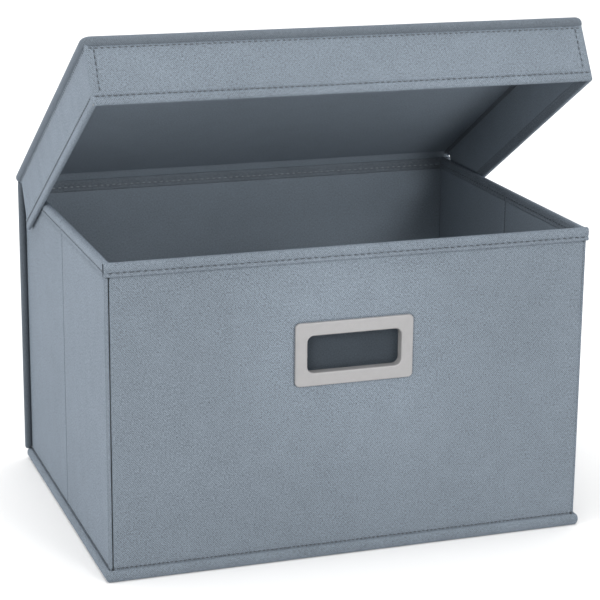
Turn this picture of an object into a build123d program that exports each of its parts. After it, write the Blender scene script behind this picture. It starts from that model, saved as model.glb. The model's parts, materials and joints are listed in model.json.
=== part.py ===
"""Collapsible archival box: cloth-covered board walls, a hinged lid and a framed hand slot.

Millimetres.  The origin is the middle of the footprint on the surface the box stands on,
+Z is up and the front, which carries the hand slot, faces -Y.
Every wall is a sandwich: an outer cover folded round a board, a lining inside, a hem over the rim.
The walls stand just above the loose base board so that they can fold over it.
"""
import os
from math import cos, radians, sin

from build123d import *

# ---- driving dimensions ---------------------------------------------------------------------
WIDTH = 400.0            # outside, left wall to right wall
DEPTH = 300.0            # outside, front wall to back wall
HEIGHT = 257.0           # rim of the box above the table

CLOTH = 0.8              # cover and lining thickness
BOARD = 2.4              # stiffening board in each wall
WALL = CLOTH + BOARD + CLOTH

HEM_CLOTH = 0.7          # folded binding over the rim
HEM_HEIGHT = 10.0

CREASE_GAP = 1.2         # slot between the two halves of a side wall
CORNER_GAP = 1.1         # slot between a side wall and the front or back wall
STRIP_CLEARANCE = 0.1    # cloth strip in a slot to the panel that folds away from it
STRIP_INSET = 0.3        # the strips lie this far inside both faces of the walls
STRIP_RAISE = 1.0        # and start this far above the lower edge of the walls
COVER_ROUNDING = 0.6     # upright edges of the wall covers
HEM_ROUNDING = 1.5       # top edges of the rim hems

BASE_CLOTH = 0.8         # bottom cloth under the loose base board
BASE_BOARD = 2.6
BASE_COVER = 0.6         # cloth over the base board
BASE_MARGIN = 1.5        # base board to the inner faces of the walls
BASE_CORNER = 2.0
FOLD_CLEARANCE = 0.4     # top of the base board to the walls that fold over it
BINDING_HEIGHT = 9.5     # binding round the foot of the box
FRONT_BINDING = 2.0      # how far it stands proud of the front
FOOT_BINDING = 3.0       # and of the side walls
SIDE_BINDING = 4.8       # how far the lid and the bound back edges stand proud of the side walls
BACK_BINDING = 1.0
BINDING_CORNER = 2.8     # outer corners of the base binding
BINDING_ROUNDING = 0.9   # its upper and lower edges
UPRIGHT_LAP = 1.0        # bound back edges reach this far past the back wall's inner face
UPRIGHT_ROUNDING = 2.0

FRAME_WIDTH = 99.0       # hand slot frame, on the front
FRAME_HEIGHT = 52.0
FRAME_BORDER = 10.0      # beside the opening
FRAME_RAIL = 10.8        # above and below it
FRAME_PLATE = 2.2        # thickness of the frame's face
FRAME_Z = 171.5          # middle of the slot above the table
FRAME_CORNER = 4.0
FRAME_ROUNDING = 1.0     # outer edge of the frame's face
MOUTH_ROUNDING = 1.1     # edge of the opening
COLLAR = 1.6             # tube of the frame that lines the slot
SLOT_CORNER = 5.5
RING_PLATE = 1.7         # locking ring inside the wall
RING_MARGIN = 2.0        # the ring is this much smaller than the frame on each side

LID_ANGLE = 31.0         # lid opening in the modelled pose, measured from closed
HINGE_BACK = 1.5         # lid hinge line behind the back wall
LID_GAP = 0.6            # rim to lid when closed
PIPING = 7.4             # height of the bound edge round the lid
PIPING_WIDTH = 6.0
PIPING_CORNER = 3.0
PIPING_ROUNDING = 2.6    # long edges of the bound edge
LID_TOP_INSET = 1.7      # lid panel's face below the top of its bound edge
LID_FRONT = 4.5          # bound edge of the lid in front of the front wall
PANEL_REAR = 4.0         # rear edge of the lid's panel in front of the hinge line
HINGE_TUCK = 0.2         # hinge cloth laps this far onto the panel and over the rim
HINGE_INSET = 0.4        # and lies this far inside the panel's and the wall's faces
HINGE_END = 1.0          # and stops this far short of the panel's sides
SKIRT_GAP = 1.8          # skirt's inner face to the wall that it covers
SKIRT_BOARD = 1.3
SKIRT_CLOTH = 0.6
SKIRT_DEPTH = 54.5       # lower edge of the skirt below the top of the lid
SKIRT_REAR = 7.3         # skirt's rear end in front of the hinge line
SKIRT_HEM_HEIGHT = 9.0
SKIRT_HEM_CLOTH = 0.5
SKIRT_HEM_INNER = 0.4

# ---- worked-out dimensions ------------------------------------------------------------------
FOOT = BASE_CLOTH + BASE_BOARD + BASE_COVER + FOLD_CLEARANCE      # lower edge of the walls
HINGE_Y = DEPTH / 2 + HINGE_BACK
HINGE_Z = HEIGHT + LID_GAP + PIPING
WALL_TOP = HEIGHT - HEM_CLOTH
WALL_HEIGHT = WALL_TOP - FOOT
SIDE_END = DEPTH / 2 - WALL                       # inner faces of the front and back walls
SIDE_HALF = SIDE_END - CORNER_GAP - CREASE_GAP / 2    # length of each half of a side wall
SIDE_MIDDLE = CREASE_GAP / 2 + SIDE_HALF / 2      # its middle, fore or aft of the crease
SKIRT = SKIRT_BOARD + 2 * SKIRT_CLOTH
EDGE_X = WIDTH / 2 + SIDE_BINDING                # outermost bound edges
SKIRT_X = WIDTH / 2 + SKIRT_GAP                  # inner face of a side skirt
LID_LENGTH = HINGE_Y + DEPTH / 2 + LID_FRONT     # hinge line to the lid's front edge
SKIRT_FRONT = HINGE_Y + DEPTH / 2 + SKIRT_GAP    # hinge line to the front skirt's inner face
SLOT_WIDTH = FRAME_WIDTH - 2 * FRAME_BORDER
SLOT_HEIGHT = FRAME_HEIGHT - 2 * FRAME_RAIL

os.makedirs("parts", exist_ok=True)


def save(piece, label):
    """Names a finished piece and writes it."""
    piece.part.label = label
    export_step(piece.part, f"parts/{label}.step")


def span(low, high):
    """Middle and length of a stretch."""
    return (low + high) / 2, high - low


def block(label, plane, across, along, depth, rounding=0.0):
    """A plain slab: two spans in the plane and one along its normal, its long edges rounded."""
    middle_x, size_x = span(*across)
    middle_y, size_y = span(*along)
    with BuildPart() as slab:
        with BuildSketch(plane.offset(depth[0])):
            with Locations((middle_x, middle_y)):
                Rectangle(size_x, size_y)
        extrude(amount=depth[1] - depth[0])
        if rounding:
            longest = max(edge.length for edge in slab.edges())
            fillet([edge for edge in slab.edges() if edge.length > 0.99 * longest], rounding)
    save(slab, label)


# ---- wall panels ----------------------------------------------------------------------------
# Each panel is drawn on a plane that lies on its outer face at the panel's foot:
# x runs along the wall, y runs up and z points out of the box.
FRONT_FACE = Plane(origin=(0, -DEPTH / 2, FOOT), x_dir=(1, 0, 0), z_dir=(0, -1, 0))
BACK_FACE = Plane(origin=(0, DEPTH / 2, FOOT), x_dir=(-1, 0, 0), z_dir=(0, 1, 0))


def side_face(side, end):
    """Outer face of one half of a side wall: side is -1 left, +1 right; end is -1 front, +1 rear."""
    origin = (side * WIDTH / 2, end * SIDE_MIDDLE, FOOT)
    return Plane(origin=origin, x_dir=(0, side, 0), z_dir=(side, 0, 0))


def hand_slot(grow, mode=Mode.ADD):
    """The slot's outline in the front wall, larger than the clear opening by grow all round."""
    with Locations((0, FRAME_Z - FOOT)):
        RectangleRounded(SLOT_WIDTH + 2 * grow, SLOT_HEIGHT + 2 * grow, SLOT_CORNER + grow, mode=mode)


def wall_cover(name, face, length, slotted):
    """Outer cloth, folded round all four edges of the board."""
    with BuildPart() as cover:
        with BuildSketch(face):
            with Locations((0, WALL_HEIGHT / 2)):
                Rectangle(length, WALL_HEIGHT)
        extrude(amount=-WALL)
        outer_face = cover.faces().sort_by(Axis(face.origin, face.z_dir))[-1]
        fillet(outer_face.edges().filter_by(Axis.Z), COVER_ROUNDING)
        with BuildSketch(face.offset(-CLOTH)):
            with Locations((0, WALL_HEIGHT / 2)):
                Rectangle(length - 2 * CLOTH, WALL_HEIGHT - 2 * CLOTH)
        extrude(amount=-WALL, mode=Mode.SUBTRACT)
        if slotted:
            with BuildSketch(face):
                hand_slot(COLLAR)
            extrude(amount=-WALL, mode=Mode.SUBTRACT)
    save(cover, f"{name}_cover")


def wall_filling(label, face, length, near, thickness, slotted):
    """The board or the lining: a sheet inside the cover's folds, its front near behind the face."""
    with BuildPart() as sheet:
        with BuildSketch(face.offset(-near)):
            with Locations((0, WALL_HEIGHT / 2)):
                Rectangle(length - 2 * CLOTH, WALL_HEIGHT - 2 * CLOTH)
            if slotted:
                hand_slot(COLLAR, Mode.SUBTRACT)
        extrude(amount=-thickness)
    save(sheet, label)


def wall_hem(name, face, length):
    """Binding folded over the rim, a little proud of both faces of the wall."""
    thick = WALL + 2 * HEM_CLOTH
    with BuildPart() as hem:
        with BuildSketch(face.offset(HEM_CLOTH)):
            with Locations((0, WALL_HEIGHT + HEM_CLOTH - HEM_HEIGHT / 2)):
                Rectangle(length, HEM_HEIGHT)
        extrude(amount=-thick)
        top_edges = hem.edges().group_by(Axis.Z)[-1]
        fillet([edge for edge in top_edges if edge.length > 2 * thick], HEM_ROUNDING)
        with BuildSketch(face):
            with Locations((0, WALL_HEIGHT - HEM_HEIGHT / 2)):
                Rectangle(length, HEM_HEIGHT)
        extrude(amount=-WALL, mode=Mode.SUBTRACT)
    save(hem, f"{name}_hem")


def wall_panel(name, face, length, slotted=False):
    """One wall panel of four pieces."""
    wall_cover(name, face, length, slotted)
    wall_filling(f"{name}_board", face, length, CLOTH, BOARD, slotted)
    wall_filling(f"{name}_lining", face, length, CLOTH + BOARD, CLOTH, slotted)
    wall_hem(name, face, length)


wall_panel("back", BACK_FACE, WIDTH)
wall_panel("front", FRONT_FACE, WIDTH, slotted=True)
for side_name, side in (("left", -1), ("right", 1)):
    for end_name, end in (("rear", 1), ("front", -1)):
        wall_panel(f"{side_name}_{end_name}", side_face(side, end), SIDE_HALF)


# ---- cloth that the walls fold about ----------------------------------------------------------
# Upright strips that fill the slots between the boards; the cloth runs on round the box there.
def fold_strip(label, side, along):
    """Strip between two panels of a side wall, set back a little from the outer face."""
    outer = side * (WIDTH / 2 - STRIP_INSET)
    inner = side * (WIDTH / 2 - WALL + STRIP_INSET)
    upright = (FOOT + STRIP_RAISE, WALL_TOP - HEM_HEIGHT)
    block(label, Plane.XY, sorted((outer, inner)), along, upright)


half_crease = CREASE_GAP / 2 - STRIP_CLEARANCE
corner_stop = SIDE_END - CORNER_GAP + STRIP_CLEARANCE
for side_name, side in (("left", -1), ("right", 1)):
    fold_strip(f"{side_name}_crease_cloth", side, (-half_crease, half_crease))
    fold_strip(f"{side_name}_rear_fold_cloth", side, (corner_stop, SIDE_END))
    fold_strip(f"{side_name}_front_fold_cloth", side, (-SIDE_END, -corner_stop))

# ---- base -------------------------------------------------------------------------------------
block("base_cloth", Plane.XY, (-WIDTH / 2, WIDTH / 2), (-DEPTH / 2, DEPTH / 2), (0, BASE_CLOTH))

BASE_X = WIDTH / 2 - WALL - BASE_MARGIN
BASE_Y = DEPTH / 2 - WALL - BASE_MARGIN
with BuildPart() as base_board:
    with BuildSketch(Plane.XY.offset(BASE_CLOTH)):
        Rectangle(2 * (BASE_X - BASE_COVER), 2 * (BASE_Y - BASE_COVER))
    extrude(amount=BASE_BOARD)
save(base_board, "base_board")

with BuildPart() as base_board_cover:
    with BuildSketch(Plane.XY.offset(BASE_CLOTH)):
        Rectangle(2 * BASE_X, 2 * BASE_Y)
    extrude(amount=BASE_BOARD + BASE_COVER)
    fillet(base_board_cover.edges().filter_by(Axis.Z), BASE_CORNER)
    with BuildSketch(Plane.XY.offset(BASE_CLOTH)):
        Rectangle(2 * (BASE_X - BASE_COVER), 2 * (BASE_Y - BASE_COVER))
    extrude(amount=BASE_BOARD, mode=Mode.SUBTRACT)
save(base_board_cover, "base_board_cover")

with BuildPart() as base_binding:
    front_edge = -DEPTH / 2 - FRONT_BINDING
    back_edge = DEPTH / 2 + BACK_BINDING
    middle_y, size_y = span(front_edge, back_edge)
    with BuildSketch():
        with Locations((0, middle_y)):
            RectangleRounded(WIDTH + 2 * FOOT_BINDING, size_y, BINDING_CORNER)
    extrude(amount=BINDING_HEIGHT)
    fillet(base_binding.edges().group_by(Axis.Z)[0], BINDING_ROUNDING)
    fillet(base_binding.edges().group_by(Axis.Z)[-1], BINDING_ROUNDING)
    with BuildSketch():
        Rectangle(WIDTH, DEPTH)
    extrude(amount=BINDING_HEIGHT, mode=Mode.SUBTRACT)
save(base_binding, "base_binding")

# ---- bound upright edges of the back ------------------------------------------------------------
for side_name, side in (("left", -1), ("right", 1)):
    block(
        f"back_{side_name}_binding",
        Plane.XY,
        sorted((side * WIDTH / 2, side * EDGE_X)),
        (SIDE_END - UPRIGHT_LAP, DEPTH / 2 + BACK_BINDING),
        (BINDING_HEIGHT, HEIGHT),
        rounding=UPRIGHT_ROUNDING,
    )

# ---- hand slot frame ----------------------------------------------------------------------------
with BuildPart() as handle_frame:
    with BuildSketch(FRONT_FACE):
        with Locations((0, FRAME_Z - FOOT)):
            RectangleRounded(FRAME_WIDTH, FRAME_HEIGHT, FRAME_CORNER)
    extrude(amount=FRAME_PLATE)
    fillet(handle_frame.edges().group_by(Axis.Y)[0], FRAME_ROUNDING)
    with BuildSketch(FRONT_FACE.offset(-WALL - RING_PLATE)):
        hand_slot(COLLAR)
    extrude(amount=WALL + RING_PLATE)
    with BuildSketch(FRONT_FACE.offset(-WALL - RING_PLATE)):
        hand_slot(0)
    extrude(amount=WALL + RING_PLATE + FRAME_PLATE, mode=Mode.SUBTRACT)
    mouth = []
    for edge in handle_frame.edges().group_by(Axis.Y)[0]:
        beside = abs(edge.center().X) < SLOT_WIDTH / 2 + COLLAR
        level = abs(edge.center().Z - FRAME_Z) < SLOT_HEIGHT / 2 + COLLAR
        if beside and level:
            mouth.append(edge)
    fillet(mouth, MOUTH_ROUNDING)
save(handle_frame, "handle_frame")

with BuildPart() as handle_ring:
    with BuildSketch(FRONT_FACE.offset(-WALL)):
        with Locations((0, FRAME_Z - FOOT)):
            RectangleRounded(FRAME_WIDTH - 2 * RING_MARGIN, FRAME_HEIGHT - 2 * RING_MARGIN, FRAME_CORNER)
        hand_slot(COLLAR, Mode.SUBTRACT)
    extrude(amount=-RING_PLATE)
save(handle_ring, "handle_ring")

# ---- lid ----------------------------------------------------------------------------------------
# The lid is drawn on a plane through its hinge line that opens with it: x runs across the box,
# -y runs from the hinge to the lid's front edge and z is the outward normal of the lid's top.
LID_NORMAL = (0, sin(radians(LID_ANGLE)), cos(radians(LID_ANGLE)))
LID_TOP = Plane(origin=(0, HINGE_Y, HINGE_Z), x_dir=(1, 0, 0), z_dir=LID_NORMAL)
PANEL_X = EDGE_X - PIPING_WIDTH
PANEL_FRONT = LID_LENGTH - PIPING_WIDTH


def lid_slab(label, across, along, depth):
    """A slab of the lid: across the box, along from the hinge line, and depth below its top."""
    block(label, LID_TOP, across, (-along[1], -along[0]), (-depth[1], -depth[0]))


panel_face = LID_TOP_INSET
panel_back = LID_TOP_INSET + WALL
with BuildPart() as lid_cover:
    middle_y, size_y = span(-PANEL_FRONT, -PANEL_REAR)
    with BuildSketch(LID_TOP.offset(-panel_back)):
        with Locations((0, middle_y)):
            Rectangle(2 * PANEL_X, size_y)
    extrude(amount=WALL)
    with BuildSketch(LID_TOP.offset(-panel_back)):
        with Locations((0, middle_y)):
            Rectangle(2 * (PANEL_X - CLOTH), size_y - 2 * CLOTH)
    extrude(amount=WALL - CLOTH, mode=Mode.SUBTRACT)
save(lid_cover, "lid_cover")

inside_across = (-PANEL_X + CLOTH, PANEL_X - CLOTH)
inside_along = (PANEL_REAR + CLOTH, PANEL_FRONT - CLOTH)
lid_slab("lid_board", inside_across, inside_along, (panel_face + CLOTH, panel_face + CLOTH + BOARD))
lid_slab("lid_lining", inside_across, inside_along, (panel_back - CLOTH, panel_back))

with BuildPart() as lid_piping:
    middle_y, size_y = span(-LID_LENGTH, -HINGE_BACK)
    with BuildSketch(LID_TOP.offset(-PIPING)):
        with Locations((0, middle_y)):
            Rectangle(2 * EDGE_X, size_y)
    extrude(amount=PIPING)
    corner_edges = [edge for edge in lid_piping.edges() if abs(edge.length - PIPING) < 0.01]
    fillet(corner_edges, PIPING_CORNER)
    long_edges = [edge for edge in lid_piping.edges() if edge.length > 1.5 * PIPING]
    fillet(long_edges, PIPING_ROUNDING)
    inner_middle, inner_size = span(-PANEL_FRONT, 0)
    with BuildSketch(LID_TOP.offset(-PIPING)):
        with Locations((0, inner_middle)):
            Rectangle(2 * PANEL_X, inner_size)
    extrude(amount=PIPING, mode=Mode.SUBTRACT)
save(lid_piping, "lid_piping")

# Skirt: three narrow panels that hang from the piping, each a cover, a board and a lining.
HANG = (PIPING, SKIRT_DEPTH)
skirt_layers = (
    ("lining", 0.0, SKIRT_CLOTH),
    ("board", SKIRT_CLOTH, SKIRT_CLOTH + SKIRT_BOARD),
    ("cover", SKIRT_CLOTH + SKIRT_BOARD, SKIRT),
)
for layer, near, far in skirt_layers:
    for side_name, side in (("left", -1), ("right", 1)):
        across = sorted((side * (SKIRT_X + near), side * (SKIRT_X + far)))
        lid_slab(f"skirt_{side_name}_{layer}", across, (SKIRT_REAR, SKIRT_FRONT), HANG)
    across = (-SKIRT_X - SKIRT, SKIRT_X + SKIRT)
    lid_slab(f"skirt_front_{layer}", across, (SKIRT_FRONT + near, SKIRT_FRONT + far), HANG)

# Hem round the lower edge of the skirt, open at the back.
with BuildPart() as skirt_hem:
    hem_top = SKIRT_DEPTH - SKIRT_HEM_HEIGHT
    hem_low = SKIRT_DEPTH + SKIRT_HEM_CLOTH
    outer_x = SKIRT_X + SKIRT + SKIRT_HEM_CLOTH
    inner_x = SKIRT_X - SKIRT_HEM_INNER
    outer_front = SKIRT_FRONT + SKIRT + SKIRT_HEM_CLOTH
    inner_front = SKIRT_FRONT - SKIRT_HEM_INNER
    middle_y, size_y = span(-outer_front, -SKIRT_REAR)
    with BuildSketch(LID_TOP.offset(-hem_low)):
        with Locations((0, middle_y)):
            Rectangle(2 * outer_x, size_y)
    extrude(amount=hem_low - hem_top)
    inner_middle, inner_size = span(-inner_front, 0)
    with BuildSketch(LID_TOP.offset(-hem_low)):
        with Locations((0, inner_middle)):
            Rectangle(2 * inner_x, inner_size)
    extrude(amount=hem_low - hem_top, mode=Mode.SUBTRACT)
    fold_middle, fold_size = span(-SKIRT_FRONT - SKIRT, -SKIRT_REAR)
    with BuildSketch(LID_TOP.offset(-SKIRT_DEPTH)):
        with Locations((0, fold_middle)):
            Rectangle(2 * (SKIRT_X + SKIRT), fold_size)
        with Locations((0, span(-SKIRT_FRONT, 0)[0])):
            Rectangle(2 * SKIRT_X, SKIRT_FRONT, mode=Mode.SUBTRACT)
    extrude(amount=SKIRT_DEPTH - hem_top, mode=Mode.SUBTRACT)
save(skirt_hem, "skirt_hem")

# ---- cloth hinge of the lid -----------------------------------------------------------------------
# A padded strip between the rim of the back wall and the rear edge of the lid's panel.
tuck_y = -PANEL_REAR + HINGE_TUCK
panel_rear_top = LID_TOP.from_local_coords((0, tuck_y, -panel_face - HINGE_INSET))
panel_rear_low = LID_TOP.from_local_coords((0, tuck_y, -panel_back + HINGE_INSET))
with BuildPart() as lid_hinge_cloth:
    with BuildSketch(Plane.YZ.offset(-PANEL_X + HINGE_END)):
        with BuildLine():
            Polyline(
                (DEPTH / 2 - HINGE_TUCK, HEIGHT + HINGE_TUCK),
                (panel_rear_top.Y, panel_rear_top.Z),
                (panel_rear_low.Y, panel_rear_low.Z),
                (SIDE_END + HINGE_INSET, HEIGHT + HINGE_TUCK),
                close=True,
            )
        make_face()
    extrude(amount=2 * (PANEL_X - HINGE_END))
save(lid_hinge_cloth, "lid_hinge_cloth")
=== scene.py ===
"""Looks of the collapsible archival box: soft cloth, bound edges, stitches, light and camera.

Metres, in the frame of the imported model: the front faces -Y, +Z is up, the floor is z = 0.
"""
import json
import math

import bmesh
import bpy
import numpy as np
from mathutils import Matrix, Vector


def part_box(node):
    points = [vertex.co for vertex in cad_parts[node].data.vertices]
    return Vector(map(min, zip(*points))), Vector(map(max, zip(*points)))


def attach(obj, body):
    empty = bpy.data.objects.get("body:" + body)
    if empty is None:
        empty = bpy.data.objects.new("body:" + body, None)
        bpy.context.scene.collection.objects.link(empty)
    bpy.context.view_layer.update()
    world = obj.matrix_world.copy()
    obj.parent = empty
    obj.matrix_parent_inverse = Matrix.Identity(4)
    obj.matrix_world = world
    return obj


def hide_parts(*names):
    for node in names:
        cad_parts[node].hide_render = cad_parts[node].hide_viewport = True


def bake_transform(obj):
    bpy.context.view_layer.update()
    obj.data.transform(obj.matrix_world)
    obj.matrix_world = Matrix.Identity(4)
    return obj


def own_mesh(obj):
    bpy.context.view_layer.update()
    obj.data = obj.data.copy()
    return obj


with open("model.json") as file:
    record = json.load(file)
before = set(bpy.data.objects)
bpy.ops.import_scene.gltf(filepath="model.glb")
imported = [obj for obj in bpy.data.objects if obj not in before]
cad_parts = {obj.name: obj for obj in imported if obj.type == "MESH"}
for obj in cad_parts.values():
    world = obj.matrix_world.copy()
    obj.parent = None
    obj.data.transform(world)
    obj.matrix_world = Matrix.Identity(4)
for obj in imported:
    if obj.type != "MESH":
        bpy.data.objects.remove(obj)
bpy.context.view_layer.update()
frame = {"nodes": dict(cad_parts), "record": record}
MM = 0.001
RNG = np.random.default_rng(7)

# ---- places taken from the frame ----
def corners_of(node):
    """The low and high corner of a CAD node's box."""
    return [np.array(corner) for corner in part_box(node)]


def shrunk(span, inset):
    """A pair of limits, each moved in by inset."""
    return span[0] + inset, span[1] - inset


def distances(points):
    """How far along a line each of its points is."""
    return np.r_[0, np.cumsum(np.linalg.norm(np.diff(points, axis=0), axis=1))]


FRONT_LOW, FRONT_HIGH = corners_of("front_cover")
FRAME_LOW, FRAME_HIGH = corners_of("handle_frame")
BIND_LOW, BIND_HIGH = corners_of("base_binding")
HALF_WIDTH = FRONT_HIGH[0]
HALF_DEPTH = corners_of("back_cover")[1][1]
WALL = FRONT_HIGH[1] - FRONT_LOW[1]
WALL_TOP = FRONT_HIGH[2]
RIM = corners_of("front_hem")[1][2]
EDGE_X = corners_of("lid_piping")[1][0]
BINDING_TOP = BIND_HIGH[2]
SIDE_OUT = BIND_HIGH[0] - HALF_WIDTH
FRONT_OUT = -HALF_DEPTH - BIND_LOW[1]
BACK_OUT = BIND_HIGH[1] - HALF_DEPTH
JOINTS = {joint["name"]: joint for joint in frame["record"]["behaviour"]["joints"]}
HINGE = np.array(JOINTS["lid_hinge"]["pos_m"])
LID_OPEN = math.radians(-JOINTS["lid_hinge"]["range_deg"][0])

# Lid sizes, measured from the hinge line along the lid (r) and down from its top (n).
PIPING_HEIGHT = 7.4 * MM
PIPING_WIDTH = 6.0 * MM
ROLL_HEIGHT = PIPING_HEIGHT + 1.2 * MM  # the soft roll round the lid, a little taller than its core
LID_LENGTH = HINGE[1] + HALF_DEPTH + 4.5 * MM
SKIRT_PLAY = 1.8 * MM  # skirt to the walls when the lid is closed
SKIRT_FRONT = HINGE[1] + HALF_DEPTH + SKIRT_PLAY
SKIRT_X = HALF_WIDTH + SKIRT_PLAY
SKIRT_THICK = 2.5 * MM
SKIRT_DEPTH = 54.5 * MM
SKIRT_REAR = 7.3 * MM
SKIRT_HEM = 9.0 * MM
PANEL_X = EDGE_X - PIPING_WIDTH
PANEL_REAR = 4.0 * MM
PANEL_FRONT = LID_LENGTH - PIPING_WIDTH
PANEL_FACE = 1.7 * MM

# Cloth
CLOTH = 0.8 * MM
HEM = 10.0 * MM
HEM_CLOTH = RIM - WALL_TOP
HEM_LOW = RIM - HEM - HEM_CLOTH  # open edge of the rim hems
SEAM_SHARE = 0.30  # a hem's seam, as a share of its height from the open edge
HOLLOW_POINTS = 4  # the last points of a hem's profile: the inside of its fold
END_DRAW = 0.5 * MM  # a hem's ends are drawn in by up to this


# ---- frames: local a (along), b (up or to the rear), c (outward) ----
def axes(origin, a, b, c):
    """Matrix that takes local (a, b, c) to the frame of the model."""
    matrix = np.eye(4)
    matrix[:3, 0], matrix[:3, 1], matrix[:3, 2], matrix[:3, 3] = a, b, c, origin
    return matrix


FRONT = axes((0, -HALF_DEPTH, 0), (1, 0, 0), (0, 0, 1), (0, -1, 0))
BACK = axes((0, HALF_DEPTH, 0), (-1, 0, 0), (0, 0, 1), (0, 1, 0))
LEFT = axes((-HALF_WIDTH, 0, 0), (0, -1, 0), (0, 0, 1), (-1, 0, 0))
RIGHT = axes((HALF_WIDTH, 0, 0), (0, 1, 0), (0, 0, 1), (1, 0, 0))
FLOOR = axes((0, 0, 0), (1, 0, 0), (0, 1, 0), (0, 0, 1))
SIN, COS = math.sin(LID_OPEN), math.cos(LID_OPEN)
LID = axes(HINGE, (1, 0, 0), (0, COS, -SIN), (0, SIN, COS))


def place(matrix, points):
    points = np.asarray(points, float)
    return points @ matrix[:3, :3].T + matrix[:3, 3]


WAVE_RATES = (14, 14, 22, 22, 35, 35, 60, 60)  # radians a metre
WAVES = [(RNG.normal(size=3) * rate, RNG.uniform(0, 2 * math.pi), rate) for rate in WAVE_RATES]
WAVE_SUM = 3.6  # brings the sum of all waves to about 1


def waviness(points):
    """Smooth unevenness of board and cloth, about -1 to 1, the same wherever pieces meet."""
    total = np.zeros(len(points))
    for vector, phase, rate in WAVES:
        total += np.sin(points @ vector + phase) * (WAVE_RATES[0] / rate)
    return total / WAVE_SUM


# ---- mesh building ----
def add_object(name, data):
    made = bpy.data.objects.new(name, data)
    bpy.context.scene.collection.objects.link(made)
    return made


def fix_normals(piece):
    """Turns every face of a closed piece outward."""
    work = bmesh.new()
    work.from_mesh(piece.data)
    bmesh.ops.recalc_face_normals(work, faces=work.faces)
    work.to_mesh(piece.data)
    work.free()


def build(name, vertices, faces, uvs, material, body, replaced=()):
    """Makes a closed piece with a UV map in metres, gives it a material and rides it on its body."""
    mesh = bpy.data.meshes.new(name)
    mesh.from_pydata([tuple(v) for v in vertices], [], [tuple(f) for f in faces])
    layer = mesh.uv_layers.new(name="cloth")
    flat = np.array([uv for face in uvs for uv in face], float)
    layer.data.foreach_set("uv", flat.ravel())
    mesh.polygons.foreach_set("use_smooth", [True] * len(mesh.polygons))
    mesh.materials.append(material)
    mesh.validate()
    piece = add_object(name, mesh)
    if body:
        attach(piece, body)
    if replaced:
        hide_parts(*replaced)
    fix_normals(piece)
    return piece


ROUND_STEPS = (0, 0.12, 0.4, 1)  # grid lines on a rounded edge, in radii
MARK_STEPS = (-1.6, -0.9, -0.4, 0, 0.4, 0.9, 1.6)  # and at a mark, in its widths
OUTLINE_MARK, POCKET_MARK = 1.5 * MM, 0.15 * MM
LEAST_STEP = 0.02 * MM
UNDIVIDED = 10  # a cell longer than any side
TINY = 1e-9
EDGE_FADE = 6 * MM  # a face's unevenness fades out this near its edges
END_SHIFT = 0.013  # moves the weave on a soft box's ends, so that it doesn't mirror the face's
STREAKS = ((0.031, 0.4), (0.019, 1.9), (0.0127, 4.1))  # length and phase of the soft pleats
STREAK_LEAN = 0.25


def steps(low, high, radius, cell, marks=()):
    """Grid lines along one side of a soft box: close at the rounded ends and at each mark."""
    lines = [low + share * radius for share in ROUND_STEPS]
    lines += [high - share * radius for share in ROUND_STEPS]
    inner_low, inner_high = low + radius, high - radius
    count = max(1, math.ceil((inner_high - inner_low) / cell))
    lines += list(np.linspace(inner_low, inner_high, count + 1)[1:-1])
    for mark, width in marks:
        lines += [mark + width * share for share in MARK_STEPS]
    lines = sorted(line for line in lines if low <= line <= high)
    kept = [lines[0]]
    for line in lines[1:]:
        if line - kept[-1] > LEAST_STEP:
            kept.append(line)
    kept[-1] = high
    return np.array(kept)


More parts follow.
